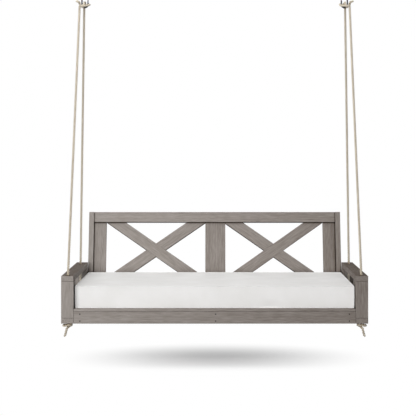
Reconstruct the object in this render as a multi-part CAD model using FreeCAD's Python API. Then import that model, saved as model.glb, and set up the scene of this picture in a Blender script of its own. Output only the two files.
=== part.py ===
import FreeCAD, Part

import math
import os

V = FreeCAD.Vector
X_AXIS, Y_AXIS, Z_AXIS = V(1, 0, 0), V(0, 1, 0), V(0, 0, 1)

# A daybed swing that hangs from a ceiling by four ropes.
# Frame, in mm: X to the right, Y from front to back, Z up. The origin is on the ceiling, midway between
# the two hanger plates, straight above the centre of mass of what hangs.
# Heights in the seat are written from the underside of the arms, and depths from the front of the arms.

# ---- driving dimensions: where things hang ----
hanger_x = 959.0            # each hanger plate, from the middle of the swing
hook_behind_middle = 66.5   # the hangers, behind the middle of the arms: the centre of mass is there
rope_drop = 1920.0          # top of the arms to the lowest point of the carabiners

# ---- driving dimensions: ceiling hangers ----
plate_width, plate_length, plate_thick = 60.0, 130.0, 6.0
plate_corner = 8.0
ceiling_hole_pitch = 80.0   # along Y, in each plate
ceiling_hole_r = 4.5
ear_thick, ear_r = 5.0, 15.0
link_side_clear = 1.0       # between the link and each ear
axle_drop = 30.0            # ceiling to the axle's middle
axle_r = 5.0
axle_head_r, axle_head_long = 9.0, 6.0
nut_flats, nut_long = 17.0, 8.0
nut_proud = 3.0             # thread past the nut
link_thick, link_lip = 6.0, 7.5
link_centres = 52.0
link_bore_clear = 0.05      # on the radius, round the axle
link_eye_clear = 3.0        # on the radius, round the carabiner's wire

# ---- driving dimensions: carabiners ----
wire_r = 5.5
bow_width = 45.0            # between the middles of the two legs
bow_height = 107.0          # between the middles of the two ends
bow_seat_gap = 0.5          # under the top bend, over the lip of the link's eye
gate_foot = 50.0            # gate pivot, above the carabiner's lowest point
gate_long = 38.0            # pivot to the tip
gate_slimmer = 1.6          # the gate's radius, less than the wire's
gate_end_gap = 0.6
cheek_thick, cheek_clear = 2.2, 0.3
rivet_r, rivet_bore_clear = 1.6, 0.05

# ---- driving dimensions: ropes ----
rope_r = 8.8
rope_hole_clear = 2.2       # on the radius, in the arms
rope_top_rise = 4.0         # how far a rope runs up inside its knot
back_rope_clear = 46.0      # back rope's middle, in front of the arm's back post
outer_rope_shift = 38.0     # front rope's top, outward from the hanger
inner_rope_shift = 7.0      # back rope's top, outward from the hanger
rope_wire_clear = 0.7       # between each rope and the carabiner's wire
joint_gap = 0.3             # between the upper and lower stretch at the left arm
open_joint_gap = 0.6        # the same at the right arm, where the linkage is opened
top_knot_in, top_knot_out = 40.0, 58.0
top_knot_deep, top_knot_low, top_knot_high = 52.0, 5.0, 38.0
top_knot_round = 8.0
bottom_knot_wide, bottom_knot_deep, bottom_knot_high = 74.0, 44.0, 32.0
bottom_knot_round = 9.0
tail_long, tail_lean = 68.0, 15.0
tail_out = 7.0              # tail's foot, outward from the rope

# ---- driving dimensions: arms ----
overall_width = 2134.0
arm_width, arm_length, arm_height = 86.0, 1016.0, 331.0
arm_rail_thick = 38.0
arm_front_post_deep, arm_back_post_deep = 140.0, 90.0
front_rope_in = 45.0        # front rope's bore, behind the front of the arm
ease = 2.0                  # rounded arrises of the boards

# ---- driving dimensions: seat frame ----
rail_thick, rail_high = 38.0, 85.0
beam_inset = 44.5           # middle of each end beam, in from the arm
centre_beam_x = 7.0
deck_thick = 18.0
slat_width, slat_gap_least = 96.0, 10.0
slat_end_clear = 1.0
slat_back_clear = 2.0

# ---- driving dimensions: back ----
back_lean = 13.2            # degrees
back_foot_setback = 63.2    # its front plane at the underside of the arms, ahead of the arms' back ends
back_height = 734.5         # along the lean
post_wide, post_deep = 38.5, 61.5
rail_inset, back_rail_deep = 6.0, 38.0
infill_inset, infill_thick = 16.0, 38.0
top_rail_high, bottom_rail_high = 79.5, 80.0
bay_high = 432.5
stile_wide = 97.0
centre_stile_wide, centre_stile_x = 156.0, 5.3
brace_wide = 85.5
left_brace_drop = 4.0       # the left X's rising brace lies this much lower, let in against the centre stile
right_brace_drop = 9.0      # the right X's falling brace lies this much lower, let in against the stile
back_ease = 1.5

# ---- driving dimensions: cushion ----
cushion_clear_side, cushion_front, cushion_clear_back = 7.0, 45.0, 3.0
cushion_thick = 150.0
cushion_round = 8.0
cushion_rest = 0.3

# ---- driving dimensions: fasteners ----
screw_r, screw_head_r, screw_head_deep, screw_sink = 2.5, 4.5, 3.0, 1.2
rail_screw_long, rail_screw_low, rail_screw_high = 60.0, 18.0, 66.0
slat_screw_long = 32.0
arm_screw_long = 80.0
arm_screw_spread = 44.0
bolt_r, bolt_head_r, bolt_head_long, bolt_long = 4.0, 8.0, 5.0, 75.0
bolt_heights = (55.0, 115.0)
bolt_depth = 16.0           # behind the front plane of the back

# ---- what follows from them ----
bow_end_r = bow_width / 2.0
ear_gap = link_thick + 2 * link_side_clear
link_eye_r = wire_r + link_eye_clear
link_end_r = link_eye_r + link_lip
gate_r = wire_r - gate_slimmer
cheek_in = gate_r + cheek_clear
cheek_out = cheek_in + cheek_thick
rope_hole_r = rope_r + rope_hole_clear
rope_top_apart = wire_r + rope_r + rope_wire_clear
hook_setback = arm_length / 2.0 + hook_behind_middle
back_rope_y = arm_length - arm_back_post_deep - back_rope_clear
back_foot_y = arm_length - back_foot_setback
axle_z = -axle_drop
eye_z = axle_z - link_centres
lip_z = eye_z - link_eye_r                            # lowest point of the link's eye
top_bow_z = lip_z + bow_seat_gap + wire_r             # middle of the wire at the top bend
carabiner_low = top_bow_z - bow_height - wire_r
arch_z = top_bow_z - bow_end_r                        # centre of the top bend: the sway axis
low_arch_z = top_bow_z - bow_height + bow_end_r
arm_top_z = carabiner_low - rope_drop
floor_z = arm_top_z - arm_height                      # underside of the arms
front_y = -hook_setback
arm_x = overall_width / 2.0 - arm_width / 2.0
inner_x = overall_width / 2.0 - arm_width
deck_low = floor_z + rail_high
deck_top = deck_low + deck_thick

parts = {}


def keep(name, shape):
    """Files one node, which is a solid or a group of solids."""
    if not shape.isValid():
        raise ValueError(name + " is not a valid shape")
    parts[name] = shape


def box(x0, x1, y0, y1, z0, z1):
    """A plain box between two corners."""
    return Part.makeBox(x1 - x0, y1 - y0, z1 - z0, V(x0, y0, z0))


def board(x0, x1, y0, y1, z0, z1, arris=ease):
    """A sawn board with eased arrises."""
    blank = box(x0, x1, y0, y1, z0, z1)
    limit = 0.4 * min(x1 - x0, y1 - y0, z1 - z0)
    return blank.makeFillet(min(arris, limit), blank.Edges)


def rod(start, end, radius):
    """A round bar between two points."""
    run = end - start
    return Part.makeCylinder(radius, run.Length, start, run)


def screw(head, way, long):
    """A countersunk screw whose head lies just under the surface at head, driven along way."""
    way = V(way)
    way.normalize()
    top = head + way * screw_sink
    neck = top + way * screw_head_deep
    cone = Part.makeCone(screw_head_r, screw_r, screw_head_deep, top, way)
    return cone.fuse(rod(neck, head + way * long, screw_r)).removeSplitter()


def screw_hole(head, way, long):
    """The hole that a screw fills, with the countersink open to the surface."""
    way = V(way)
    way.normalize()
    mouth = rod(head - way, head + way * screw_sink, screw_head_r)
    return screw(head, way, long).fuse(mouth)


def cut_all(shape, tools):
    """The shape less every tool that reaches it."""
    near = [tool for tool in tools if shape.BoundBox.intersect(tool.BoundBox)]
    return shape.cut(near) if near else shape


def sides():
    """Left and right, with the sign of X on each."""
    return (("left", -1), ("right", 1))


# ---- ceiling hangers ----
def hanger_plate(cx):
    """A ceiling plate with two ears below it and two holes for ceiling bolts."""
    plate = box(cx - plate_width / 2, cx + plate_width / 2,
                -plate_length / 2, plate_length / 2, -plate_thick, 0)
    uprights = [e for e in plate.Edges if abs(e.tangentAt(e.FirstParameter).z) > 0.9]
    plate = plate.makeFillet(plate_corner, uprights)
    for side in (-1, 1):
        near = cx + side * ear_gap / 2
        far = cx + side * (ear_gap / 2 + ear_thick)
        low, high = min(near, far), max(near, far)
        ear = box(low, high, -ear_r, ear_r, axle_z, -plate_thick)
        ear = ear.fuse(rod(V(low, 0, axle_z), V(high, 0, axle_z), ear_r))
        plate = plate.fuse(ear)
    plate = plate.removeSplitter()
    reach = plate_width
    plate = plate.cut(rod(V(cx - reach, 0, axle_z), V(cx + reach, 0, axle_z), axle_r))
    for y in (-ceiling_hole_pitch / 2, ceiling_hole_pitch / 2):
        plate = plate.cut(rod(V(cx, y, -2 * plate_thick), V(cx, y, plate_thick), ceiling_hole_r))
    return plate


def hanger_axle(cx):
    """A bolt along X through both ears: its head is at the outer or left side, its nut opposite."""
    half = ear_gap / 2 + ear_thick
    shank = rod(V(cx - half, 0, axle_z), V(cx + half + nut_long + nut_proud, 0, axle_z), axle_r)
    head = rod(V(cx - half - axle_head_long, 0, axle_z), V(cx - half, 0, axle_z), axle_head_r)
    return shank.fuse(head).removeSplitter()


def axle_nut(cx):
    """A hexagon nut on the axle's thread."""
    start = cx + ear_gap / 2 + ear_thick
    corner = nut_flats / math.sqrt(3)
    ring = [V(start, corner * math.cos(math.radians(60 * i)),
              axle_z + corner * math.sin(math.radians(60 * i))) for i in range(7)]
    block = Part.Face(Part.makePolygon(ring)).extrude(V(nut_long, 0, 0))
    return block.cut(rod(V(start - 1, 0, axle_z), V(start + nut_long + 1, 0, axle_z), axle_r))


def hanger_link(cx):
    """A flat steel link with a bore for the axle at the top and an eye for the carabiner below."""
    low, high = cx - link_thick / 2, cx + link_thick / 2
    link = box(low, high, -link_end_r, link_end_r, eye_z, axle_z)
    for z in (axle_z, eye_z):
        link = link.fuse(rod(V(low, 0, z), V(high, 0, z), link_end_r))
    link = link.removeSplitter()
    link = link.cut(rod(V(low - 1, 0, axle_z), V(high + 1, 0, axle_z), axle_r + link_bore_clear))
    return link.cut(rod(V(low - 1, 0, eye_z), V(high + 1, 0, eye_z), link_eye_r))


# ---- carabiners ----
def wire_loop(cx):
    """The middle line of the carabiner's wire: two legs and two round ends, in the XZ plane."""
    left, right = cx - bow_end_r, cx + bow_end_r
    over = Part.Arc(V(left, 0, arch_z), V(cx, 0, arch_z + bow_end_r), V(right, 0, arch_z))
    under = Part.Arc(V(right, 0, low_arch_z), V(cx, 0, low_arch_z - bow_end_r), V(left, 0, low_arch_z))
    down = Part.LineSegment(V(right, 0, arch_z), V(right, 0, low_arch_z))
    up = Part.LineSegment(V(left, 0, low_arch_z), V(left, 0, arch_z))
    return Part.Wire([over.toShape(), down.toShape(), under.toShape(), up.toShape()])


def carabiner(cx, side):
    """The forged body: a closed loop of round bar, open on its inner leg where the gate sits."""
    path = wire_loop(cx)
    section = Part.Wire(Part.makeCircle(wire_r, V(cx - bow_end_r, 0, arch_z), Z_AXIS))
    pipe = path.makePipeShell([section], True, False)
    gate_x = cx - side * bow_end_r
    pivot_z = carabiner_low + gate_foot
    tip_z = pivot_z + gate_long
    reach = 2 * wire_r
    gap = box(gate_x - reach, gate_x + reach, -reach, reach, pivot_z - wire_r - gate_end_gap,
              tip_z + gate_end_gap)
    body = pipe.cut(gap)
    # two cheeks carry the rivet, one each side of the gate's foot
    for face in (-1, 1):
        y0, y1 = sorted((face * cheek_in, face * cheek_out))
        cheek = rod(V(gate_x, y0, pivot_z), V(gate_x, y1, pivot_z), wire_r)
        cheek = cheek.fuse(box(gate_x - wire_r, gate_x + wire_r, y0, y1, pivot_z - 2 * wire_r, pivot_z))
        body = body.fuse(cheek)
    body = body.removeSplitter()
    return body.cut(rod(V(gate_x, -reach, pivot_z), V(gate_x, reach, pivot_z), rivet_r))


def gate_rivet(cx, side):
    """The rivet that the gate turns on."""
    gate_x = cx - side * bow_end_r
    pivot_z = carabiner_low + gate_foot
    return rod(V(gate_x, -cheek_out, pivot_z), V(gate_x, cheek_out, pivot_z), rivet_r)


def gate(cx, side):
    """The sprung gate: a round bar with a rounded foot that is bored for the rivet."""
    gate_x = cx - side * bow_end_r
    pivot_z = carabiner_low + gate_foot
    foot = rod(V(gate_x, -gate_r, pivot_z), V(gate_x, gate_r, pivot_z), gate_r)
    bar = rod(V(gate_x, 0, pivot_z), V(gate_x, 0, pivot_z + gate_long), gate_r)
    whole = bar.fuse(foot).removeSplitter()
    bore_r = rivet_r + rivet_bore_clear
    return whole.cut(rod(V(gate_x, -2 * gate_r, pivot_z), V(gate_x, 2 * gate_r, pivot_z), bore_r))


# ---- ropes ----
rope_plan = {
    "front": (front_y + front_rope_in, outer_rope_shift, -rope_top_apart),
    "back": (front_y + back_rope_y, inner_rope_shift, rope_top_apart),
}


def rope_ends(end, side):
    """The points where an upper rope starts, at the top of the arm, and ends, under its knot."""
    y, shift, apart = rope_plan[end]
    foot = V(side * arm_x, y, arm_top_z)
    top = V(side * (hanger_x + shift), apart, carabiner_low + top_knot_low + rope_top_rise)
    return foot, top


def rope_upper(end, side):
    """A taut rope from the arm's top to its knot, with a round foot that can rock in the arm's hole."""
    foot, top = rope_ends(end, side)
    tube = rod(foot, top, rope_r)
    return tube.fuse(Part.makeSphere(rope_r, foot)).removeSplitter()


def top_knot(cx, side):
    """The outline of both ropes' knots, drawn tight round the lower bend of the carabiner."""
    inward, outward = cx - side * top_knot_in, cx + side * top_knot_out
    block = box(min(inward, outward), max(inward, outward), -top_knot_deep / 2, top_knot_deep / 2,
                carabiner_low + top_knot_low, carabiner_low + top_knot_high)
    block = block.makeFillet(top_knot_round, block.Edges)
    return block


def rope_lower(end, side):
    """The stretch inside the arm, from just under the upper rope's foot to the stopper knot."""
    y = rope_plan[end][0]
    gap = joint_gap if side < 0 else open_joint_gap
    return rod(V(side * arm_x, y, floor_z), V(side * arm_x, y, arm_top_z - rope_r - gap), rope_r)


def bottom_knot(end, side):
    """The stopper knot's outline under the arm, with the rope's free tail."""
    y = rope_plan[end][0]
    cx = side * arm_x
    block = box(cx - bottom_knot_wide / 2, cx + bottom_knot_wide / 2, y - bottom_knot_deep / 2,
                y + bottom_knot_deep / 2, floor_z - bottom_knot_high, floor_z)
    block = block.makeFillet(bottom_knot_round, block.Edges)
    lean = math.radians(tail_lean)
    start = V(cx + side * tail_out, y, floor_z - bottom_knot_high / 2)
    way = V(side * math.sin(lean), 0, -math.cos(lean))
    tail = rod(start, start + way * (tail_long + bottom_knot_high / 2), rope_r)
    return block.fuse(tail).removeSplitter()


# ---- arms ----
def rope_holes(side):
    """Bores for the front and back rope, right through an arm."""
    holes = []
    for y, _, _ in rope_plan.values():
        holes.append(rod(V(side * arm_x, y, floor_z - 1), V(side * arm_x, y, arm_top_z + 1), rope_hole_r))
    return holes


def arm_screw_places(side):
    """Screws that come up through the bottom rail into both posts."""
    places = []
    for y in (front_y + arm_front_post_deep / 2, front_y + arm_length - arm_back_post_deep / 2):
        for step in (-1, 1):
            places.append(V(side * arm_x + step * arm_screw_spread / 2, y + step * arm_screw_spread / 2,
                            floor_z))
    return places


def bolt_places():
    """Where the bolts go through the posts of the back into the arms: height and depth."""
    slope = math.tan(math.radians(back_lean))
    behind = bolt_depth / math.cos(math.radians(back_lean))
    return [(floor_z + h, front_y + back_foot_y + h * slope + behind) for h in bolt_heights]


def back_bolt(side, z, y):
    """A bolt along X, its head on the inner face of the back's post."""
    face = side * (inner_x - post_wide)
    head = rod(V(face - side * bolt_head_long, y, z), V(face, y, z), bolt_head_r)
    shank = rod(V(face, y, z), V(face + side * bolt_long, y, z), bolt_r)
    return head.fuse(shank).removeSplitter()


def bolt_bores():
    """The holes that the bolts fill."""
    bores = []
    for _, side in sides():
        face = side * (inner_x - post_wide)
        for z, y in bolt_places():
            bores.append(rod(V(face - side, y, z), V(face + side * bolt_long, y, z), bolt_r))
    return bores


def arm(name, side):
    """Four boards: two posts between a top and a bottom rail, open at the side."""
    x0, x1 = side * arm_x - arm_width / 2, side * arm_x + arm_width / 2
    back = front_y + arm_length
    low, high = floor_z + arm_rail_thick, arm_top_z - arm_rail_thick
    boards = {
        "arm_bottom_rail_": board(x0, x1, front_y, back, floor_z, low),
        "arm_front_post_": board(x0, x1, front_y, front_y + arm_front_post_deep, low, high),
        "arm_back_post_": board(x0, x1, back - arm_back_post_deep, back, low, high),
        "arm_top_rail_": board(x0, x1, front_y, back, high, arm_top_z),
    }
    tools = rope_holes(side) + bolt_bores()
    tools += [screw_hole(place, Z_AXIS, arm_screw_long) for place in arm_screw_places(side)]
    for prefix, shape in boards.items():
        keep(prefix + name, cut_all(shape, tools))


# ---- back: drawn upright, with w up the back and t from its front plane, then leaned ----
def lean(shape):
    """Leans a piece of the back that was drawn upright."""
    placed = shape.copy()
    placed.rotate(V(0, 0, 0), X_AXIS, -back_lean)
    placed.translate(V(0, front_y + back_foot_y, floor_z))
    return placed


back_half = inner_x     # the back stands face to face with the arms
post_inner = back_half - post_wide
stile_inner = post_inner - stile_wide
bay_top = back_height - top_rail_high
bay_low = bay_top - bay_high
centre_left = centre_stile_x - centre_stile_wide / 2
centre_right = centre_stile_x + centre_stile_wide / 2
infill_back = infill_inset + infill_thick


def brace(x0, x1, falls, front_half, drop, low_one_falls):
    """One diagonal of an X, its ends cut level: it falls or rises to the right, halved at the crossing.

    One of the two lies lower than corner to corner, with its upper end let in against the stile.
    """
    wide = x1 - x0
    corner_to_corner = math.hypot(wide, bay_high)
    angle = math.atan2(bay_high, wide) + math.asin(brace_wide / corner_to_corner)
    cut_long = brace_wide / math.sin(angle)

    def outline(down):
        lower = drop if down == low_one_falls else 0.0
        across = lower / math.tan(angle)    # how far its cut foot moves sideways
        high, foot = (x0, x1) if down else (x1, x0)
        inward = 1 if down else -1
        against_stile = [(high, bay_top - lower)] if lower else []
        return against_stile + [(high, bay_top), (high + inward * (cut_long - across), bay_top),
                                (foot - inward * across, bay_low),
                                (foot - inward * (cut_long + across), bay_low)]

    def prism(points, t0, t1):
        ring = [V(x, t0, w) for x, w in points]
        return Part.Face(Part.makePolygon(ring + ring[:1])).extrude(V(0, t1 - t0, 0))

    blank = prism(outline(falls), infill_inset, infill_back)
    blank = blank.makeFillet(back_ease, [e for e in blank.Edges if e.Length > cut_long + 1])
    middle = infill_inset + infill_thick / 2
    if front_half:
        lap = prism(outline(not falls), middle, infill_back + 1)
    else:
        lap = prism(outline(not falls), infill_inset - 1, middle)
    return lean(blank.cut(lap))


def back():
    """Two posts, two rails, three stiles and two X's."""
    bores = bolt_bores()
    for name, side in sides():
        a, b = sorted((side * post_inner, side * back_half))
        post = lean(board(a, b, 0, post_deep, 0, back_height, back_ease))
        keep("back_post_" + name, cut_all(post, bores))
        a, b = sorted((side * stile_inner, side * post_inner))
        keep("back_stile_" + name, lean(board(a, b, infill_inset, infill_back, bay_low, bay_top, back_ease)))
    rail_back = rail_inset + back_rail_deep
    keep("back_top_rail", lean(board(-post_inner, post_inner, rail_inset, rail_back, bay_top, back_height,
                                     back_ease)))
    keep("back_bottom_rail", lean(board(-post_inner, post_inner, rail_inset, rail_back,
                                        bay_low - bottom_rail_high, bay_low, back_ease)))
    keep("back_centre_stile", lean(board(centre_left, centre_right, infill_inset, infill_back, bay_low,
                                         bay_top, back_ease)))
    left_bay = (-stile_inner, centre_left)
    right_bay = (centre_right, stile_inner)
    keep("brace_left_falling", brace(*left_bay, True, True, left_brace_drop, False))
    keep("brace_left_rising", brace(*left_bay, False, False, left_brace_drop, False))
    keep("brace_right_rising", brace(*right_bay, False, True, right_brace_drop, True))
    keep("brace_right_falling", brace(*right_bay, True, False, right_brace_drop, True))


# ---- seat frame ----
beam_x = {"end_beam_left": -(inner_x - beam_inset), "centre_beam": centre_beam_x,
          "end_beam_right": inner_x - beam_inset}


def rear_rail_blank():
    """The rear rail leans with the back and lies against its posts."""
    long = rail_high / math.cos(math.radians(back_lean))
    return lean(box(-inner_x, inner_x, -rail_thick, 0, 0, long + rail_thick))


def behind_rear_rail_front():
    """Everything behind the front face of the leaning rear rail, as a cutting block."""
    return lean(box(-inner_x, inner_x, -rail_thick, arm_length, -arm_height, arm_height))


def rail_screw_places():
    """Screws through the front rail into the ends of the three beams."""
    return [V(x, front_y, floor_z + h) for x in beam_x.values()
            for h in (rail_screw_low, rail_screw_high)]


deck_back = back_foot_y + rail_high * math.tan(math.radians(back_lean)) - slat_back_clear
slat_count = int((deck_back + slat_gap_least) / (slat_width + slat_gap_least))
slat_pitch = (deck_back - slat_width) / (slat_count - 1)


def slat_screw_places():
    """One screw in the middle of each slat over each beam."""
    return [V(x, front_y + i * slat_pitch + slat_width / 2, deck_top)
            for i in range(slat_count) for x in beam_x.values()]


def seat_frame():
    """Front rail, rear rail and three beams under the deck's slats."""
    tools = [screw_hole(p, Y_AXIS, rail_screw_long) for p in rail_screw_places()]
    slat_tools = [screw_hole(p, -Z_AXIS, slat_screw_long) for p in slat_screw_places()]
    front = board(-inner_x, inner_x, front_y, front_y + rail_thick, floor_z, deck_low)
    keep("front_rail", cut_all(front, tools + slat_tools))
    level = box(-inner_x, inner_x, front_y, front_y + 2 * arm_length, floor_z, deck_low)
    rear = rear_rail_blank().common(level)
    keep("rear_rail", cut_all(rear, slat_tools))
    behind = behind_rear_rail_front()
    for name, x in beam_x.items():
        beam = box(x - rail_thick / 2, x + rail_thick / 2, front_y + rail_thick, front_y + arm_length,
                   floor_z, deck_low)
        keep(name, cut_all(beam.cut(behind), tools + slat_tools))
    slats = []
    for i in range(slat_count):
        y0 = front_y + i * slat_pitch
        slat = board(-inner_x + slat_end_clear, inner_x - slat_end_clear, y0, y0 + slat_width, deck_low,
                     deck_top, back_ease)
        slats.append(cut_all(slat, slat_tools))
    keep("front_slat", slats[0])
    keep("deck_slats", Part.makeCompound(slats[1:]))


# ---- cushion ----
def cushion():
    """A box cushion whose back face leans with the back that it is pushed against."""
    half = inner_x - cushion_clear_side
    low = deck_top + cushion_rest
    high = low + cushion_thick
    slope = math.tan(math.radians(back_lean))
    clear = cushion_clear_back / math.cos(math.radians(back_lean))

    def back_y(z):
        return front_y + back_foot_y + (z - floor_z) * slope - clear

    ring = [V(-half, front_y + cushion_front, low), V(-half, back_y(low), low),
            V(-half, back_y(high), high), V(-half, front_y + cushion_front, high)]
    block = Part.Face(Part.makePolygon(ring + ring[:1])).extrude(V(2 * half, 0, 0))
    keep("cushion", block.makeFillet(cushion_round, block.Edges))


# ---- the whole swing ----
for name, side in sides():
    cx = side * hanger_x
    keep("hanger_plate_" + name, hanger_plate(cx))
    keep("hanger_axle_" + name, hanger_axle(cx))
    keep("hanger_link_" + name, hanger_link(cx))
    keep("carabiner_" + name, carabiner(cx, side))
    keep("gate_rivet_" + name, gate_rivet(cx, side))
    keep("carabiner_gate_" + name, gate(cx, side))
    uppers = []
    for end in rope_plan:
        upper = rope_upper(end, side)
        uppers.append(upper)
        keep("rope_upper_" + end + "_" + name, upper)
        keep("rope_lower_" + end + "_" + name, rope_lower(end, side))
        keep("rope_end_knot_" + end + "_" + name, bottom_knot(end, side))
    knot = top_knot(cx, side).cut(parts["carabiner_" + name])
    solids = sorted(knot.cut(uppers).Solids, key=lambda s: s.Volume)
    keep("rope_top_knot_" + name, solids[-1])
    arm(name, side)

keep("axle_nuts", Part.makeCompound([axle_nut(side * hanger_x) for _, side in sides()]))
seat_frame()
back()
cushion()
keep("rail_screws", Part.makeCompound([screw(p, Y_AXIS, rail_screw_long) for p in rail_screw_places()]))
keep("slat_screws", Part.makeCompound([screw(p, -Z_AXIS, slat_screw_long) for p in slat_screw_places()]))
keep("arm_screws", Part.makeCompound([screw(p, Z_AXIS, arm_screw_long)
                                      for _, side in sides() for p in arm_screw_places(side)]))
keep("back_bolts", Part.makeCompound([back_bolt(side, z, y) for _, side in sides()
                                      for z, y in bolt_places()]))

os.makedirs("parts", exist_ok=True)
for name, shape in parts.items():
    shape.exportStep(os.path.join("parts", name + ".step"))

for end in rope_plan:
    for name, side in sides():
        foot, top = rope_ends(end, side)
        print("upper rope", end, name, "straight run", round((top - foot).Length, 1), "mm, no bends")
print("levels: arm top", arm_top_z, "underside", floor_z, "carabiner low", carabiner_low,
      "sway axis", arch_z, "eye", eye_z)
print(len(parts), "nodes")
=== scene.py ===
import math

import bmesh
import bpy
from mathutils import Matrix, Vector


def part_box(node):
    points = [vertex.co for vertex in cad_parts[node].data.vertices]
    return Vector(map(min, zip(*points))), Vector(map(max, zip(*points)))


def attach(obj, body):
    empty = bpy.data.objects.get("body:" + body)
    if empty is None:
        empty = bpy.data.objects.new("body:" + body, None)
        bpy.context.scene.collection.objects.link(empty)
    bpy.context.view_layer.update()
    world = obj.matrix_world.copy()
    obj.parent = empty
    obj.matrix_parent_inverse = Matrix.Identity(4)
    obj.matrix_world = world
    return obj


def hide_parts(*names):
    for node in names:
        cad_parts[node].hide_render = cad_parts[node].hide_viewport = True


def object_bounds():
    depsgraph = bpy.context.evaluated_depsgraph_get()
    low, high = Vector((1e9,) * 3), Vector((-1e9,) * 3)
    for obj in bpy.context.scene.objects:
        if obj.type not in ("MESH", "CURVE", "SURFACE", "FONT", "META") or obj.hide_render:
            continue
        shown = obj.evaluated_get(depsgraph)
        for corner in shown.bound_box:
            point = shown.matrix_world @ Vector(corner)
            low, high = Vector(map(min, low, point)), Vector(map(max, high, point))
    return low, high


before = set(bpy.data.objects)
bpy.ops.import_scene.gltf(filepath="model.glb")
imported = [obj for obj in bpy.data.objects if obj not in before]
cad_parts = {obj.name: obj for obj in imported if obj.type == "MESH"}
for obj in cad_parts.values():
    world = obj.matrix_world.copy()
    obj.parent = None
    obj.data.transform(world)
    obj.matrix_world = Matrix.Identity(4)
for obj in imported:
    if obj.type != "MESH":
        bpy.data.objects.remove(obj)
cad_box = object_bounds()

# ---------------------------------------------------------------------------------------------
# The rope. Three-strand laid rope of beige spun fibre, about 18 mm thick. It is right-laid, so
# every strand runs the same way round. The long runs and the knots are all of the same rope.
# ---------------------------------------------------------------------------------------------
MM = 0.001
ROPE_THICK = 18.0 * MM
STRAND_R = 4.3 * MM
STRAND_OUT = 4.7 * MM       # the strand's middle from the rope's middle
ROPE_LAY = 51 * MM          # length of one turn of a strand
RINGS_PER_TURN = 20
STRAND_SIDES = 9
START_TURN = 0.7            # how much further round each next rope in a piece starts, in radians
WHIPPED_SHARE = 0.55        # how thin a tail is at its cut end, as a share of its full size
WHIPPED_RINGS = 4           # the rings over which it thins
YARNS = 6                   # how many go round a strand; real yarns are too fine to show
YARN_TWIST = 14 * MM        # length of one turn of the yarns in a strand
YARN_SHOWS = 0.10
FUZZ_WIDTH = 10 * MM / 9    # loose fibre ends, nine to the centimetre
STAIN_WIDTH = 200 * MM / 7  # seven stains in 20 cm
SOILED, FRESH = 0.43, 0.63              # the tone of the darkest and the lightest stain
GROOVE_REACH = 3 * ROPE_THICK           # how near other rope lies where painted shade falls
GROOVE_SHUT, GROOVE_OPEN = 0.2, 0.66    # how open a place is where its painted shade is fullest, and where there is none
OPEN_RAYS = 8


def linear(code):
    """A hex sRGB colour as linear RGBA."""
    parts = [int(code[i:i + 2], 16) / 255 for i in (1, 3, 5)]
    return [c / 12.92 if c <= 0.04045 else ((c + 0.055) / 1.055) ** 2.4 for c in parts] + [1.0]


def add(tree, kind, inputs=None, stops=None, **settings):
    """Adds one node with its settings. An input is a value or the socket that feeds it."""
    node = tree.nodes.new(kind)
    for key, value in settings.items():
        setattr(node, key, value)
    for key, source in (inputs or {}).items():
        if isinstance(source, bpy.types.NodeSocket):
            tree.links.new(source, node.inputs[key])
        else:
            node.inputs[key].default_value = source
    if stops:
        ramp = node.color_ramp
        while len(ramp.elements) < len(stops):
            ramp.elements.new(0.5)
        for element, (place, colour) in zip(ramp.elements, stops):
            element.position = place
            element.color = colour
    return node


def new_material(name):
    """An empty material, its node tree and its output."""
    material = bpy.data.materials.new(name)
    material.use_nodes = True
    tree = material.node_tree
    tree.nodes.clear()
    return material, tree, tree.nodes.new("ShaderNodeOutputMaterial")


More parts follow.
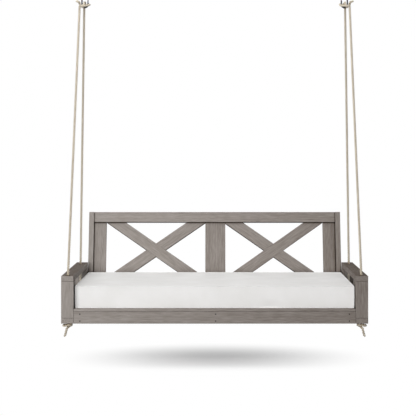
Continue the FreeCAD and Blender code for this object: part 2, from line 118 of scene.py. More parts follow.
def laid_cotton_rope():
    """Spun cotton rope: matt, with fine yarns that catch the light in slanting lines."""
    material, tree, out = new_material("laid cotton rope")
    along = add(tree, "ShaderNodeUVMap", uv_map="lay").outputs["UV"]
    parts = add(tree, "ShaderNodeSeparateXYZ", {0: along})
    # the yarns slant by one turn round their strand in YARN_TWIST
    slant = add(tree, "ShaderNodeMath", {0: parts.outputs["X"], 1: parts.outputs["Y"]}, operation="ADD")
    wave = add(tree, "ShaderNodeMath", {0: slant.outputs[0], 1: 2 * math.pi * YARNS}, operation="MULTIPLY")
    wave = add(tree, "ShaderNodeMath", {0: wave.outputs[0]}, operation="SINE")
    place = add(tree, "ShaderNodeTexCoord").outputs["Object"]
    fuzz = add(tree, "ShaderNodeTexNoise", {"Vector": place, "Scale": 1 / FUZZ_WIDTH, "Detail": 3.0})
    stain = add(tree, "ShaderNodeTexNoise", {"Vector": place, "Scale": 1 / STAIN_WIDTH, "Detail": 2.0})
    soiled = add(tree, "ShaderNodeMapRange", {"Value": stain.outputs["Fac"], "From Min": 0.2,
                                              "From Max": 0.8, "To Min": SOILED, "To Max": FRESH})
    tone = add(tree, "ShaderNodeMath",
               {0: wave.outputs[0], 1: YARN_SHOWS, 2: soiled.outputs["Result"]}, operation="MULTIPLY_ADD")
    # painted shade: the grooves and the turns of a knot are darkened to brown, where shade falls
    open_air = add(tree, "ShaderNodeAmbientOcclusion", {"Distance": GROOVE_REACH}, samples=OPEN_RAYS)
    unshaded = add(tree, "ShaderNodeMapRange", {"Value": open_air.outputs["AO"], "From Min": GROOVE_SHUT,
                                             "From Max": GROOVE_OPEN})
    tone = add(tree, "ShaderNodeMath", {0: tone.outputs[0], 1: unshaded.outputs["Result"]},
               operation="MULTIPLY")
    # the darkest, brown stops are the painted shade
    colour = add(tree, "ShaderNodeValToRGB", {"Fac": tone.outputs[0]},
                 [(0.0, linear("#6B4A1A")), (0.16, linear("#A08454")), (0.33, linear("#B4A992")),
                  (0.50, linear("#C8BEAE")), (0.74, linear("#D6CEC0"))])
    height = add(tree, "ShaderNodeMath", {0: fuzz.outputs["Fac"], 1: 0.6, 2: wave.outputs[0]},
                 operation="MULTIPLY_ADD")
    bump = add(tree, "ShaderNodeBump", {"Height": height.outputs[0], "Strength": 0.5,
                                        "Distance": 0.4 * MM})
    shader = add(tree, "ShaderNodeBsdfPrincipled",
                 {"Base Color": colour.outputs["Color"], "Roughness": 0.9, "IOR": 1.45,
                  "Specular IOR Level": 0.2, "Sheen Weight": 0.15, "Sheen Roughness": 0.6,
                  "Normal": bump.outputs["Normal"]})
    tree.links.new(shader.outputs["BSDF"], out.inputs["Surface"])
    return material


ROPE_FINISH = laid_cotton_rope()


def smooth_line(points, step):
    """The route's own smooth line through space, as points about a step apart."""
    curve = bpy.data.curves.new("route", "CURVE")
    curve.dimensions = "3D"
    curve.resolution_u = 24
    spline = curve.splines.new("NURBS")
    spline.points.add(len(points) - 1)
    for point, place in zip(spline.points, points):
        point.co = (*place, 1.0)
    spline.order_u = 3
    spline.use_endpoint_u = True
    holder = bpy.data.objects.new("route", curve)
    bpy.context.scene.collection.objects.link(holder)
    bpy.context.view_layer.update()
    mesh = bpy.data.meshes.new_from_object(holder)
    line = [v.co.copy() for v in mesh.vertices]
    bpy.data.objects.remove(holder)
    bpy.data.meshes.remove(mesh)
    bpy.data.curves.remove(curve)
    runs = [(b - a).length for a, b in zip(line, line[1:])]
    count = max(2, round(sum(runs) / step))
    spaced, i, done = [], 0, 0.0
    for k in range(count + 1):
        want = sum(runs) * k / count
        while i < len(runs) - 1 and done + runs[i] < want:
            done += runs[i]
            i += 1
        spaced.append(line[i].lerp(line[i + 1], min(1.0, (want - done) / runs[i])))
    return spaced


def turning_frames(line):
    """Each point of a line, with two directions square to it, carried along without twisting."""
    frames, across = [], None
    for i, point in enumerate(line):
        ahead = (line[min(i + 1, len(line) - 1)] - line[max(i - 1, 0)]).normalized()
        if across is None:
            across = ahead.orthogonal()
        across = (across - ahead * across.dot(ahead)).normalized()
        frames.append((point, across, ahead.cross(across)))
    return frames


def lay_rope(mesh, layer, points, turned, whipped):
    """Adds three strands along a route to a mesh, closed at their ends. Returns the route's line."""
    step = ROPE_LAY / RINGS_PER_TURN
    line = smooth_line(points, step)
    frames = turning_frames(line)
    last = len(frames) - 1
    for strand in range(3):
        rings = []
        for i, (middle, u, v) in enumerate(frames):
            turn = turned + 2 * math.pi * (strand / 3 + i / RINGS_PER_TURN)
            taper = 1.0
            if whipped:
                taper = WHIPPED_SHARE + (1 - WHIPPED_SHARE) * min(1.0, (last - i) / WHIPPED_RINGS)
            core = middle + (u * math.cos(turn) + v * math.sin(turn)) * STRAND_OUT * taper
            ring = []
            for k in range(STRAND_SIDES):
                round_it = 2 * math.pi * k / STRAND_SIDES
                way = u * math.cos(round_it) + v * math.sin(round_it)
                ring.append(mesh.verts.new(core + way * STRAND_R * taper))
            rings.append(ring)
        for i in range(last):
            for k in range(STRAND_SIDES):
                j = (k + 1) % STRAND_SIDES
                face = mesh.faces.new((rings[i][k], rings[i][j], rings[i + 1][j], rings[i + 1][k]))
                face.smooth = True
                along = (i, i, i + 1, i + 1)
                around = (k, k + 1, k + 1, k)
                for loop, a, b in zip(face.loops, along, around):
                    loop[layer].uv = (a * step / YARN_TWIST, b / STRAND_SIDES)
        mesh.faces.new(list(reversed(rings[0])))
        mesh.faces.new(rings[-1])
    return line


def rope_piece(name, body, routes, node, whipped=False):
    """One piece of rope laid along each of its routes, in a CAD node's place, and its lines."""
    mesh = bmesh.new()
    layer = mesh.loops.layers.uv.new("lay")
    lines = [lay_rope(mesh, layer, route, START_TURN * i, whipped) for i, route in enumerate(routes)]
    bmesh.ops.recalc_face_normals(mesh, faces=mesh.faces)
    data = bpy.data.meshes.new(name)
    mesh.to_mesh(data)
    mesh.free()
    data.materials.append(ROPE_FINISH)
    piece = bpy.data.objects.new(name, data)
    bpy.context.scene.collection.objects.link(piece)
    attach(piece, body)
    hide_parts(node)
    return piece, lines


# ---------------------------------------------------------------------------------------------
# The ropes' upper knots. Both ropes of a side are hitched to the lower bend of the carabiner:
# the front one crosses before it, turns round the inner leg and comes back behind it, and the
# back one passes up through the eye and is tucked down under the first.
# ---------------------------------------------------------------------------------------------
SIDES = (("left", -1), ("right", 1))    # and which way is outward
# all in mm: outward from the hanger, backward, and above the carabiner's lowest point
FRONT_TOP = (38, -15, 9)
BACK_TOP = (7, 15, 9)
FRONT_HITCH = [(38.4, -17, 13), (33, -23, 17), (16, -26, 16), (-8, -24, 16), (-29, -14, 21),
               (-35, 2, 27), (-22, 17, 29), (2, 22, 26), (27, 20, 22), (39, 14, 25), (41, 5, 35),
               (43, -2, 45), (54, -6, 50), (68, -9, 52)]
BACK_HITCH = [(5, 17, 20), (2, 14, 37), (2, 1, 47), (4, -12, 37), (9, -17, 21), (17, -16, 8),
              (22, -12, 1)]


def middle_of(node):
    """The middle of a CAD node's box."""
    low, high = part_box(node)
    return Vector([(a + b) / 2 for a, b in zip(low, high)])


def hitch_place(side_name, side, place):
    """A place of the upper knots on one side of the swing."""
    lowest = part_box("carabiner_" + side_name)[0][2]
    hanger = Vector((middle_of("hanger_link_" + side_name).x, 0, lowest))
    return hanger + Vector((side * place[0], place[1], place[2])) * MM


upper_knots = {}
for side_name, side in SIDES:
    hitches = [[hitch_place(side_name, side, place) for place in route]
               for route in ([FRONT_TOP] + FRONT_HITCH, [BACK_TOP] + BACK_HITCH)]
    upper_knots[side_name], _ = rope_piece("upper_knots_" + side_name, side_name + "_sling", hitches,
                                           "rope_top_knot_" + side_name, whipped=True)

# ---------------------------------------------------------------------------------------------
# The ropes' stopper knots. Under the arm each rope turns once round itself, so that it can't pull
# up through the bore, and its tail hangs free, leaning outward, with a cut end.
# ---------------------------------------------------------------------------------------------
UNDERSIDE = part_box("arm_bottom_rail_left")[0][2]
# in mm: outward, backward and up from the bore's mouth
STOPPER = [(0, 0, 6), (0, 0, -8), (-5, 3, -19), (-19, 8, -21), (-29, 0, -13), (-20, -17, -10),
           (2, -22, -14), (26, -15, -19), (33, 2, -18), (19, 17, -17), (-2, 17, -20), (-6, 5, -29),
           (7, -3, -37), (12, 0, -52), (16, 0, -75), (25, 0, -97)]

stopper_knots = {}
for side_name, side in SIDES:
    for end in ("front", "back"):
        corner = "%s_%s" % (end, side_name)
        mouth = middle_of("rope_lower_" + corner)
        mouth.z = UNDERSIDE
        route = [mouth + Vector((side * place[0], place[1], place[2])) * MM for place in STOPPER]
        stopper_knots[corner], _ = rope_piece("stopper_knot_" + corner, "seat", [route],
                                              "rope_end_knot_" + corner, whipped=True)

# ---------------------------------------------------------------------------------------------
# The ropes' long runs. Each is pulled taut from the hitch at its carabiner down to the top of the
# arm, and goes on straight down a bore through the arm to its stopper knot.
# ---------------------------------------------------------------------------------------------
ARM_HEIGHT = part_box("arm_top_rail_left")[1][2]
TAUT_STRETCH = 6                            # diameters of straight rope next to a knot or an edge
PIVOT_ROOM = ROPE_THICK / 2 + 0.6 * MM      # the run in the arm starts this far below its top


for side_name, side in SIDES:
    for end, top in (("front", FRONT_TOP), ("back", BACK_TOP)):
        corner = "%s_%s" % (end, side_name)
        foot = middle_of("rope_lower_" + corner)
        foot.z = ARM_HEIGHT
        head = hitch_place(side_name, side, top)
        down = (foot - head).normalized()
        straight = down * ROPE_THICK * TAUT_STRETCH
        route = [foot, foot - straight, head + straight, head]
        rope, lines = rope_piece("rope_" + corner, side_name + "_sling", [route], "rope_upper_" + corner)

        mouth = Vector((foot.x, foot.y, UNDERSIDE))
        start = foot - Vector((0, 0, PIVOT_ROOM))
        route = [start, start.lerp(mouth, 0.5), mouth]
        hidden, lines = rope_piece("rope_in_arm_" + corner, "seat", [route], "rope_lower_" + corner)

# ---------------------------------------------------------------------------------------------
# The seat's frame and deck: two rails, three beams between them and slats across, screwed. All the
# timber is planed softwood, brushed with a thin grey wash. Painted shade darkens its joints, inner
# corners and undersides, and the timber is painted darker toward the right as painted shade.
# ---------------------------------------------------------------------------------------------
RING_WIDTH, RING_LENGTH = 11 * MM, 500 * MM     # the year rings where they come out on a face
FIBRE_WIDTH, FIBRE_LENGTH = 5 * MM, 70 * MM     # the finest streaks; real fibres are too fine to show
BRUSH_WIDTH, BRUSH_LENGTH = 50 * MM, 160 * MM   # one lap of the brush
RINGS_SHOW, FIBRES_SHOW, BRUSH_SHOWS = 0.45, 1.0, 0.25
BOARD_SHIFT = 9.0           # how far apart in the pattern two boards may lie, in metres
BOARD_SPREAD = 0.04         # how much the wash differs from board to board, either way
HALF_WIDTH = cad_box[1][0]
WASH_AND_LIGHT_LEFT, WASH_AND_LIGHT_RIGHT = 0.70, 0.30      # how much wash there is at the two ends, from 0 to 1; its drop to the right is painted shade
TOP_DARKER_SHARE = 0.75             # the share of the wash taken off the arms' tops, which are made darker
TOP_BEGINS, TOP_FULL = 0.6, 0.95        # how far up a face looks where this darkening begins and is full
UNDER_SHADE_SHARE = 0.9          # painted shade: the share of the undersides' wash taken away, as they lie in shade
UNDER_FULL, UNDER_BEGINS = -0.7, -0.3   # how far down a face looks where this is full and begins
BARE = 0.3                  # where bare timber lies between the darkest painted shade, 0, and the full wash, 1
# painted shade: the wash thins near joints and inner corners, where shade falls: how near, how shut
# in it is where the shade is darkest, and the share of the wash that is left there
JOINT_REACH, JOINT_SHUT, JOINT_LEFT = 12 * MM, 0.65, 0.0
CORNER_REACH, CORNER_SHUT, CORNER_LEFT = 45 * MM, 0.3, 0.45


def grey_washed_timber(name, grain, top_darker=False, painted_tone=0.0):
    """Grey-washed softwood with its grain along one direction: dull, streaked, uneven, with painted shade.
    """
    material, tree, out = new_material(name)
    along = Vector(grain).normalized()
    across = along.orthogonal().normalized()
    third = along.cross(across)
    place = add(tree, "ShaderNodeTexCoord").outputs["Object"]
    chance = add(tree, "ShaderNodeObjectInfo").outputs["Random"]
    shift = add(tree, "ShaderNodeMath", {0: chance, 1: BOARD_SHIFT}, operation="MULTIPLY").outputs[0]
    moved = add(tree, "ShaderNodeVectorMath", {0: place, 1: shift}, operation="ADD").outputs["Vector"]
    measured = [add(tree, "ShaderNodeVectorMath", {0: moved, 1: way},
                    operation="DOT_PRODUCT").outputs["Value"] for way in (across, third, along)]

    def streaks(width, length, **more):
        """Soft streaks of this width and length along the grain, from about -0.5 to 0.5."""
        scaled = [add(tree, "ShaderNodeMath", {0: m, 1: 1 / size}, operation="MULTIPLY").outputs[0]
                  for m, size in zip(measured, (width, width, length))]
        where = add(tree, "ShaderNodeCombineXYZ", {0: scaled[0], 1: scaled[1], 2: scaled[2]}).outputs[0]
        blotches = add(tree, "ShaderNodeTexNoise", {"Vector": where, "Scale": 1.0, **more})
        return add(tree, "ShaderNodeMath", {0: blotches.outputs["Fac"], 1: 0.5},
                   operation="SUBTRACT").outputs[0]

    rings = streaks(RING_WIDTH, RING_LENGTH, Detail=2.0, Distortion=0.6)
    fibres = streaks(FIBRE_WIDTH, FIBRE_LENGTH, Detail=3.0, Roughness=0.6)
    brush = streaks(BRUSH_WIDTH, BRUSH_LENGTH, Detail=2.0)

    parts = add(tree, "ShaderNodeSeparateXYZ", {0: place})
    # painted shade: the wash, and so the timber's tone, drops toward the right, where less light falls
    wash_and_shade = add(tree, "ShaderNodeMapRange", {"Value": parts.outputs["X"], "From Min": -HALF_WIDTH,
                                            "From Max": HALF_WIDTH, "To Min": WASH_AND_LIGHT_LEFT,
                                            "To Max": WASH_AND_LIGHT_RIGHT}).outputs["Result"]
    facing = add(tree, "ShaderNodeSeparateXYZ", {0: add(tree, "ShaderNodeNewGeometry").outputs["Normal"]})
    # the arms' tops are made darker: less wash where a face looks up
    if top_darker:
        top_darkening = add(tree, "ShaderNodeMapRange", {"Value": facing.outputs["Z"], "From Min": TOP_BEGINS,
                                                "From Max": TOP_FULL, "To Min": 1.0,
                                                "To Max": 1 - TOP_DARKER_SHARE})
        wash_and_shade = add(tree, "ShaderNodeMath", {0: wash_and_shade, 1: top_darkening.outputs["Result"]},
                   operation="MULTIPLY").outputs[0]
    for streak, strength in ((rings, RINGS_SHOW), (fibres, FIBRES_SHOW), (brush, BRUSH_SHOWS)):
        wash_and_shade = add(tree, "ShaderNodeMath", {0: streak, 1: strength, 2: wash_and_shade},
                   operation="MULTIPLY_ADD").outputs[0]
    # each board's tone differs a little at random, and the posts carry painted light and the stiles painted
    # shade
    board = add(tree, "ShaderNodeMapRange", {"Value": chance, "To Min": painted_tone - BOARD_SPREAD,
                                             "To Max": painted_tone + BOARD_SPREAD})
    wash_and_shade = add(tree, "ShaderNodeMath", {0: wash_and_shade, 1: board.outputs["Result"]}, operation="ADD").outputs[0]
    wash_and_shade = add(tree, "ShaderNodeMapRange", {"Value": wash_and_shade, "To Min": BARE, "To Max": 1.0}).outputs["Result"]
    # painted shade in the joints and inner corners
    for reach, shut, left in ((JOINT_REACH, JOINT_SHUT, JOINT_LEFT),
                              (CORNER_REACH, CORNER_SHUT, CORNER_LEFT)):
        open_air = add(tree, "ShaderNodeAmbientOcclusion", {"Distance": reach}, samples=OPEN_RAYS)
        shade_factor = add(tree, "ShaderNodeMapRange", {"Value": open_air.outputs["AO"], "From Min": shut,
                                                   "From Max": 1.0, "To Min": left, "To Max": 1.0})
        wash_and_shade = add(tree, "ShaderNodeMath", {0: wash_and_shade, 1: shade_factor.outputs["Result"]},
                   operation="MULTIPLY").outputs[0]
    # painted shade on the undersides
    shaded_under = add(tree, "ShaderNodeMapRange", {"Value": facing.outputs["Z"], "From Min": UNDER_FULL,
                                             "From Max": UNDER_BEGINS, "To Min": 1 - UNDER_SHADE_SHARE,
                                             "To Max": 1.0})
    wash_and_shade = add(tree, "ShaderNodeMath", {0: wash_and_shade, 1: shaded_under.outputs["Result"]},
               operation="MULTIPLY").outputs[0]
    # from 0 up to the bare timber's stop the colour is painted shade
    colour = add(tree, "ShaderNodeValToRGB", {"Fac": wash_and_shade},
                 [(0.0, linear("#1F1A17")), (BARE, linear("#655C55")), (1.0, linear("#A39D98"))])
    rough = add(tree, "ShaderNodeMapRange", {"Value": fibres, "From Min": -0.3, "From Max": 0.3,
                                             "To Min": 0.75, "To Max": 0.9})
    height = add(tree, "ShaderNodeMath", {0: rings, 1: fibres}, operation="ADD")
    bump = add(tree, "ShaderNodeBump", {"Height": height.outputs[0], "Strength": 0.3,
                                        "Distance": 0.6 * MM})
    shader = add(tree, "ShaderNodeBsdfPrincipled",
                 {"Base Color": colour.outputs["Color"], "Roughness": rough.outputs["Result"],
                  "IOR": 1.5, "Specular IOR Level": 0.0, "Normal": bump.outputs["Normal"]})
    tree.links.new(shader.outputs["BSDF"], out.inputs["Surface"])
    return material


def paint(material, *names):
    """Gives CAD nodes that show their finish."""
    for name in names:
        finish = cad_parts[name].data.materials
        finish.clear()
        finish.append(material)


lengthways = grey_washed_timber("washed timber lengthways", (1, 0, 0))
front_to_back = grey_washed_timber("washed timber front to back", (0, 1, 0))
paint(lengthways, "front_rail", "rear_rail", "front_slat", "deck_slats")
paint(front_to_back, "end_beam_left", "centre_beam", "end_beam_right")

# ---------------------------------------------------------------------------------------------
# The arms. Each is an open frame of four grey-washed boards, screwed together: a top rail, a front
# and a back post, and a bottom rail. Their tops are made darker, with less of the wash.
# ---------------------------------------------------------------------------------------------
dark_topped_timber = grey_washed_timber("washed timber with a darker top", (0, 1, 0), top_darker=True)
upright = grey_washed_timber("washed timber upright", (0, 0, 1))
paint(front_to_back, "arm_bottom_rail_left", "arm_bottom_rail_right")
paint(dark_topped_timber, "arm_top_rail_left", "arm_top_rail_right")
paint(upright, "arm_front_post_left", "arm_front_post_right", "arm_back_post_left",
      "arm_back_post_right")

# ---------------------------------------------------------------------------------------------
# The back. One leaning frame of grey-washed boards, bolted between the arms: two posts, two rails,
# two stiles and a centre stile, with two braces halved over each other as an X on each side. The
# posts are painted a little lighter and the stiles a little darker: painted light and painted shade.
# ---------------------------------------------------------------------------------------------
LEAN = math.radians(13.2)
BRACE_RISE = math.radians(34.6)
UP_THE_BACK = Vector((0, math.sin(LEAN), math.cos(LEAN)))
BRACE_ALONG = Vector((math.cos(BRACE_RISE), 0, 0))
BRACE_UP = math.sin(BRACE_RISE) * UP_THE_BACK
# painted light on the posts and painted shade on the stiles
POST_PAINTED_LIGHT, STILE_PAINTED_SHADE = 0.09, -0.08

posts = grey_washed_timber("washed timber of the back posts", UP_THE_BACK, painted_tone=POST_PAINTED_LIGHT)
stiles = grey_washed_timber("washed timber of the stiles", UP_THE_BACK, painted_tone=STILE_PAINTED_SHADE)
rising = grey_washed_timber("washed timber rising brace", BRACE_ALONG + BRACE_UP)
falling = grey_washed_timber("washed timber falling brace", BRACE_ALONG - BRACE_UP)
paint(lengthways, "back_top_rail", "back_bottom_rail")
paint(posts, "back_post_left", "back_post_right")
paint(stiles, "back_stile_left", "back_stile_right", "back_centre_stile")
paint(rising, "brace_left_rising", "brace_right_rising")
paint(falling, "brace_left_falling", "brace_right_falling")

# ---------------------------------------------------------------------------------------------
# The seat cushion. One thick block of foam in a box cover of close-woven white canvas, its panels
# sewn edge to edge. The seams hold, and between them the foam pushes the canvas out a little.
# ---------------------------------------------------------------------------------------------
CUSHION_LOW, CUSHION_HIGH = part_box("cushion")
CELL = 17 * MM              # the cloth's mesh
EDGE_CELL = 5 * MM          # its first row at a seam, which keeps the edge crisp
SET_BACK = 0.3 * MM         # the cover starts this far inside the foam's full size
FILLING_FRAMES = 20
SETTLING = 25               # how often each place is evened out with those beside it
MOST_SWELL = 3 * MM
DENT_X = 376 * MM           # where the front has been pressed in above its lower seam, from the middle
DENT_WIDE, DENT_HIGH, DENT_DEEP = 62 * MM, 64 * MM, 8 * MM
SEAM_R = 2.4 * MM           # the turned seam's ridge
SEAM_SIDES = 6
WEAVE_WIDTH = 2.5 * MM      # the finest that shows; the real threads are about 0.5 mm
CLOUD_WIDTH = 160 * MM      # where the canvas is a little greyer or whiter


def white_canvas():
    """Close-woven white canvas: matt, very slightly uneven, its weave only just felt by the eye."""
    material, tree, out = new_material("white woven canvas")
    place = add(tree, "ShaderNodeTexCoord").outputs["Object"]
    weave = add(tree, "ShaderNodeTexNoise", {"Vector": place, "Scale": 1 / WEAVE_WIDTH, "Detail": 2.0})
    cloud = add(tree, "ShaderNodeTexNoise", {"Vector": place, "Scale": 1 / CLOUD_WIDTH, "Detail": 3.0})
    mixed = add(tree, "ShaderNodeMath", {0: weave.outputs["Fac"], 1: 0.35, 2: cloud.outputs["Fac"]},
                operation="MULTIPLY_ADD")
    colour = add(tree, "ShaderNodeValToRGB", {"Fac": mixed.outputs[0]},
                 [(0.45, linear("#E2E1DF")), (0.9, linear("#E9E8E7"))])
    bump = add(tree, "ShaderNodeBump", {"Height": weave.outputs["Fac"], "Strength": 0.25,
                                        "Distance": 0.4 * MM})
    shader = add(tree, "ShaderNodeBsdfPrincipled",
                 {"Base Color": colour.outputs["Color"], "Roughness": 0.9, "IOR": 1.45,
                  "Specular IOR Level": 0.15, "Sheen Weight": 0.08, "Sheen Roughness": 0.5,
                  "Normal": bump.outputs["Normal"]})
    tree.links.new(shader.outputs["BSDF"], out.inputs["Surface"])
    return material


def cell_edges(size):
    """Where the mesh lines lie along one side: a narrow row at each seam, even ones between."""
    inner = size - 2 * EDGE_CELL
    count = max(2, round(inner / CELL))
    return [0.0] + [EDGE_CELL + inner * k / count for k in range(count + 1)] + [size]


def cushion_back(z):
    """Where the cushion's back face lies at a height: it leans with the back of the swing."""
    return CUSHION_HIGH[1] - (CUSHION_HIGH[2] - z) * math.tan(LEAN) - SET_BACK


def cushion_cover():
    """The cover's mesh before it is filled, the vertices its seams hold, and the seams' ends."""
    low = [c + SET_BACK for c in CUSHION_LOW]
    high = [c - SET_BACK for c in CUSHION_HIGH]
    low[2] = CUSHION_LOW[2]
    xs = [low[0] + s for s in cell_edges(high[0] - low[0])]
    zs = [low[2] + s for s in cell_edges(high[2] - low[2])]
    shares = cell_edges(high[1] - low[1])
    shares = [s / shares[-1] for s in shares]
    last = (len(xs) - 1, len(shares) - 1, len(zs) - 1)
    mesh = bmesh.new()
    spots = {}

    def vert(i, j, k):
        if (i, j, k) not in spots:
            y = low[1] + shares[j] * (cushion_back(zs[k]) - low[1])
            spots[i, j, k] = mesh.verts.new((xs[i], y, zs[k]))
        return spots[i, j, k]

    for axis in range(3):
        a, b = [other for other in range(3) if other != axis]
        for side in (0, last[axis]):
            for m in range(last[a]):
                for n in range(last[b]):
                    corners = []
                    for dm, dn in ((0, 0), (1, 0), (1, 1), (0, 1)):
                        index = [0, 0, 0]
                        index[axis], index[a], index[b] = side, m + dm, n + dn
                        corners.append(vert(*index))
                    mesh.faces.new(corners)
    bmesh.ops.recalc_face_normals(mesh, faces=mesh.faces)
    mesh.verts.index_update()
    held = {v.index for (i, j, k), v in spots.items()
            if (i in (0, last[0])) + (j in (0, last[1])) + (k in (0, last[2])) > 1 or k == 0}
    seams = []
    for axis in range(3):
        a, b = [other for other in range(3) if other != axis]
        for end_a in (0, last[a]):
            for end_b in (0, last[b]):
                ends = []
                for end in (0, last[axis]):
                    index = [0, 0, 0]
                    index[axis], index[a], index[b] = end, end_a, end_b
                    ends.append(spots[tuple(index)].co.copy())
                seams.append(ends)
    return mesh, held, seams


def fill_with_foam(cover, held):
    """Blows the cover out between its seams, evens it out, and keeps it to the swell it may have."""
    empty = [v.co.copy() for v in cover.data.vertices]
    sewn = cover.vertex_groups.new(name="sewn")
    sewn.add(list(held), 1.0, "REPLACE")
    cloth = cover.modifiers.new("cover", "CLOTH")
    cloth.settings.quality = 6
    cloth.settings.mass = 0.3
    cloth.settings.tension_stiffness = 25
    cloth.settings.compression_stiffness = 25
    cloth.settings.bending_stiffness = 4.0
    cloth.settings.shrink_min = 0.02
    cloth.settings.use_pressure = True
    cloth.settings.uniform_pressure_force = 3.0
    cloth.settings.effector_weights.gravity = 0.0
    cloth.settings.vertex_group_mass = "sewn"
    cloth.point_cache.frame_start = 1
    cloth.point_cache.frame_end = FILLING_FRAMES
    for moment in range(1, FILLING_FRAMES + 1):
        bpy.context.scene.frame_set(moment)
    evaluated = cover.evaluated_get(bpy.context.evaluated_depsgraph_get())
    filled = bpy.data.meshes.new_from_object(evaluated)
    moves = [vertex.co - place for vertex, place in zip(filled.vertices, empty)]
    beside = [[] for _ in empty]
    for edge in cover.data.edges:
        one, other = edge.vertices
        beside[one].append(other)
        beside[other].append(one)
    for _ in range(SETTLING):
        moves = [move if i in held else sum((moves[j] for j in beside[i]), move) / (len(beside[i]) + 1)
                 for i, move in enumerate(moves)]
    cover.modifiers.remove(cloth)
    bpy.context.scene.frame_set(1)
    share = min(1.0, MOST_SWELL / max(move.length for move in moves))
    for vertex, place, move in zip(cover.data.vertices, empty, moves):
        vertex.co = place + move * share


def press_dent(cover, held):
    """Presses the dent into the front panel."""
    front = min(v.co.y for v in cover.data.vertices)
    for vertex in cover.data.vertices:
        aside = (vertex.co.x - DENT_X) / DENT_WIDE
        above = (vertex.co.z - CUSHION_LOW[2]) / DENT_HIGH
        if vertex.co.y < front + 2 * MOST_SWELL and vertex.index not in held:
            vertex.co.y += DENT_DEEP * math.exp(-aside ** 2) * max(0.0, 1 - above)


def add_ridge(mesh, start, end):
    """Adds the round ridge of the turned cloth along one seam."""
    ahead = (end - start).normalized()
    across = ahead.orthogonal().normalized()
    third = ahead.cross(across)
    count = max(1, round((end - start).length / CELL))
    turns = [2 * math.pi * k / SEAM_SIDES for k in range(SEAM_SIDES)]
    rings = []
    for i in range(count + 1):
        middle = start.lerp(end, i / count)
        rings.append([mesh.verts.new(middle + (across * math.cos(t) + third * math.sin(t)) * SEAM_R)
                      for t in turns])
    for near, far in zip(rings, rings[1:]):
        for k in range(SEAM_SIDES):
            j = (k + 1) % SEAM_SIDES
            mesh.faces.new((near[k], near[j], far[j], far[k]))
    mesh.faces.new(list(reversed(rings[0])))
    mesh.faces.new(rings[-1])


mesh, held, seams = cushion_cover()
cover = bpy.data.objects.new("cushion_cover", bpy.data.meshes.new("cushion_cover"))
mesh.to_mesh(cover.data)
mesh.free()
bpy.context.scene.collection.objects.link(cover)
fill_with_foam(cover, held)
press_dent(cover, held)

mesh = bmesh.new()
mesh.from_mesh(cover.data)
for start, end in seams:
    add_ridge(mesh, start, end)
bmesh.ops.recalc_face_normals(mesh, faces=mesh.faces)
mesh.to_mesh(cover.data)
mesh.free()

smoother = cover.modifiers.new("rounding", "SUBSURF")
smoother.levels = 1
smoother.render_levels = 1
cover.data.materials.append(white_canvas())
for polygon in cover.data.polygons:
    polygon.use_smooth = True
cover.data.update()
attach(cover, "seat")
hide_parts("cushion")

# ---------------------------------------------------------------------------------------------
# The carabiners. Each is bent from one round bar of polished steel, its gate turning on a rivet under
# a spring; its dark colour is a painted reflection. It clips a side's two ropes to the link of the hanger.
# ---------------------------------------------------------------------------------------------
WEAR_WIDTH = 50 * MM / 13           # 13 patches in 5 cm, which handling has dulled or polished
WEAR_LEAST, WEAR_MOST = 0.7, 1.4    # how much of a metal's roughness the smoothest and dullest have


def worn_metal(name, colour, rough):
    """A metal whose gloss differs a little from place to place."""
    material, tree, out = new_material(name)
    place = add(tree, "ShaderNodeTexCoord").outputs["Object"]
    wear = add(tree, "ShaderNodeTexNoise", {"Vector": place, "Scale": 1 / WEAR_WIDTH, "Detail": 3.0})
    gloss = add(tree, "ShaderNodeMapRange", {"Value": wear.outputs["Fac"], "To Min": rough * WEAR_LEAST,
                                             "To Max": rough * WEAR_MOST})
    shader = add(tree, "ShaderNodeBsdfPrincipled",
                 {"Base Color": linear(colour), "Metallic": 1.0, "Roughness": gloss.outputs["Result"]})
    tree.links.new(shader.outputs["BSDF"], out.inputs["Surface"])
    return material


# painted reflection: polished steel made dark for the dark surroundings it reflects, with sharp bright
# lines where it reflects the lamps
steel = worn_metal("polished steel painted dark", "#36373B", 0.18)
for side_name, _ in SIDES:
    paint(steel, "carabiner_" + side_name, "gate_rivet_" + side_name, "carabiner_gate_" + side_name)

# ---------------------------------------------------------------------------------------------
# The hangers. A plate with two ears is bolted to the ceiling on each side, and a link swings below
# it on an axle bolt with a nut. They are pressed and turned from steel and zinc-plated.
# ---------------------------------------------------------------------------------------------
# pale grey and softly shining
zinc = worn_metal("zinc plate", "#A7A9AC", 0.4)
for side_name, _ in SIDES:
    paint(zinc, "hanger_plate_" + side_name, "hanger_axle_" + side_name, "hanger_link_" + side_name)
paint(zinc, "axle_nuts")

# ---------------------------------------------------------------------------------------------
# The screws and bolts. Blackened steel: screws hold the rails, the slats and the arms' boards to
# each other, and bolts hold the back between the arms.
# ---------------------------------------------------------------------------------------------
# nearly black, with a dull shine
black = worn_metal("blackened screws", "#2A2826", 0.45)
paint(black, "rail_screws", "slat_screws", "arm_screws", "back_bolts")

# ---------------------------------------------------------------------------------------------
# The studio. Seamless white paper lies under the swing and fades into a white room. A large soft
# key lamp stands to the front left, with weaker ones in front, above and behind.
# ---------------------------------------------------------------------------------------------
ARM_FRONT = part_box("arm_front_post_left")[0][1]
MID_DEPTH = ARM_FRONT + 0.508
CAMERA_BACK, CAMERA_UP = 8.846, 1.262               # from the arms' fronts, and from their undersides
CAMERA_LENS, CAMERA_SENSOR = 110.21, 36             # mm
CAMERA_ASIDE, CAMERA_RAISED = -0.01598, -0.15865    # its shift, in widths of the picture
CAMERA_REACH = 100
FLOOR = UNDERSIDE - 0.316
FLOOR_HALF = 20
SHADOW_RIGHT, SHADOW_FORWARD = 0.02, 0.03           # the shadow's middle, from the swing's
SHADOW_HALF_WIDTH, SHADOW_HALF_DEPTH = 1.22, 0.74
PAPER_LIT, PAPER_GLOW = 0.88, 0.275                 # what it returns, and what lightens its shadow
PAPER_BOUNCE = 0.4                                  # what it returns to the swing
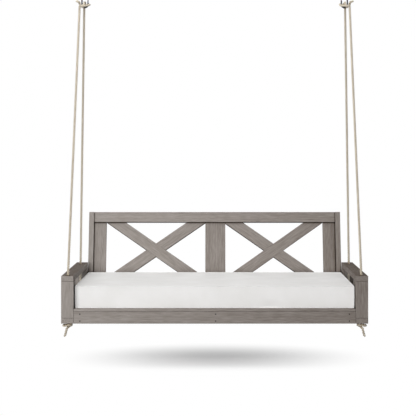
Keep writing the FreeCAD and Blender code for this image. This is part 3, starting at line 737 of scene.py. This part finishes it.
WORLD_FILL = 0.12
AIM_UP = 0.3                                        # the lamps aim this far above the arms' undersides

camera = bpy.data.objects.new("camera", bpy.data.cameras.new("camera"))
bpy.context.scene.collection.objects.link(camera)
camera.location = (0, ARM_FRONT - CAMERA_BACK, UNDERSIDE + CAMERA_UP)
camera.rotation_euler = (math.pi / 2, 0, 0)
camera.data.lens = CAMERA_LENS
camera.data.sensor_width = CAMERA_SENSOR
camera.data.shift_x = CAMERA_ASIDE
camera.data.shift_y = CAMERA_RAISED
camera.data.clip_end = CAMERA_REACH
bpy.context.scene.camera = camera


def white_paper():
    """White seamless paper: it shows the swing's soft shadow, and fades to plain white round it."""
    material, tree, out = new_material("white paper floor")
    place = add(tree, "ShaderNodeTexCoord").outputs["Object"]
    stretch = add(tree, "ShaderNodeMapping", {"Vector": place,
                                              "Scale": (1 / SHADOW_HALF_WIDTH, 1 / SHADOW_HALF_DEPTH, 1.0)})
    far = add(tree, "ShaderNodeVectorMath", {0: stretch.outputs["Vector"]}, operation="LENGTH")
    near = add(tree, "ShaderNodeMapRange", {"Value": far.outputs["Value"], "To Min": 1.0, "To Max": 0.0},
               interpolation_type="SMOOTHSTEP")
    lit = add(tree, "ShaderNodeBsdfDiffuse", {"Color": (PAPER_LIT, PAPER_LIT, PAPER_LIT, 1)})
    glow = add(tree, "ShaderNodeEmission", {"Color": (1, 1, 1, 1), "Strength": PAPER_GLOW})
    shadowed = add(tree, "ShaderNodeAddShader", {0: lit.outputs[0], 1: glow.outputs[0]})
    white = add(tree, "ShaderNodeEmission", {"Color": (1, 1, 1, 1), "Strength": 1.0})
    ground = add(tree, "ShaderNodeMixShader", {0: near.outputs["Result"], 1: white.outputs[0],
                                               2: shadowed.outputs[0]})
    bounce = add(tree, "ShaderNodeBsdfDiffuse", {"Color": (PAPER_BOUNCE, PAPER_BOUNCE, PAPER_BOUNCE, 1)})
    ray = add(tree, "ShaderNodeLightPath")
    seen = add(tree, "ShaderNodeMath",
               {0: ray.outputs["Is Glossy Ray"], 1: ray.outputs["Is Transmission Ray"]},
               operation="MAXIMUM")
    plain = add(tree, "ShaderNodeMixShader", {0: seen.outputs[0], 1: bounce.outputs[0],
                                              2: white.outputs[0]})
    final = add(tree, "ShaderNodeMixShader", {0: ray.outputs["Is Camera Ray"], 1: plain.outputs[0],
                                              2: ground.outputs[0]})
    tree.links.new(final.outputs[0], out.inputs["Surface"])
    return material


mesh = bmesh.new()
bmesh.ops.create_grid(mesh, x_segments=1, y_segments=1, size=FLOOR_HALF)
floor = bpy.data.objects.new("floor", bpy.data.meshes.new("floor"))
mesh.to_mesh(floor.data)
mesh.free()
floor.location = (SHADOW_RIGHT, MID_DEPTH - SHADOW_FORWARD, FLOOR)
bpy.context.scene.collection.objects.link(floor)
floor.data.materials.append(white_paper())

# the room is white where it is seen or reflected, and only fills in a little light otherwise
world = bpy.data.worlds.new("studio")
bpy.context.scene.world = world
world.use_nodes = True
tree = world.node_tree
tree.nodes.clear()
ray = add(tree, "ShaderNodeLightPath")
seen = add(tree, "ShaderNodeMath", {0: ray.outputs["Is Camera Ray"], 1: ray.outputs["Is Glossy Ray"]},
           operation="MAXIMUM")
seen = add(tree, "ShaderNodeMath", {0: seen.outputs[0], 1: ray.outputs["Is Transmission Ray"]},
           operation="MAXIMUM")
fill = add(tree, "ShaderNodeMapRange", {"Value": seen.outputs[0], "To Min": WORLD_FILL, "To Max": 1.0})
room = add(tree, "ShaderNodeBackground", {"Color": (1, 1, 1, 1), "Strength": fill.outputs["Result"]})
add(tree, "ShaderNodeOutputWorld", {"Surface": room.outputs[0]})


def softbox(name, turned, raised, far, size, strength):
    """A square lamp that far from the seat. Strength 1 shows a white that faces it as white."""
    lamp = bpy.data.objects.new(name, bpy.data.lights.new(name, "AREA"))
    bpy.context.scene.collection.objects.link(lamp)
    turn, rise = math.radians(turned), math.radians(raised)
    toward = Vector((-math.sin(turn) * math.cos(rise), -math.cos(turn) * math.cos(rise), math.sin(rise)))
    lamp.location = Vector((0, MID_DEPTH, UNDERSIDE + AIM_UP)) + toward * far
    lamp.rotation_euler = (-toward).to_track_quat("-Z", "Y").to_euler()
    lamp.data.size = size
    lamp.data.energy = strength * (math.pi * far) ** 2


# each is turned to the left of the front and raised by so many degrees
softbox("key", turned=24, raised=15, far=13.0, size=8.0, strength=0.77)
softbox("front fill", turned=0, raised=5, far=10.0, size=5.0, strength=0.10)
softbox("overhead", turned=40, raised=79, far=5.0, size=4.0, strength=0.71)
softbox("back light", turned=180, raised=12, far=8.0, size=2.5, strength=0.15)

bpy.context.scene.view_settings.view_transform = "Standard"
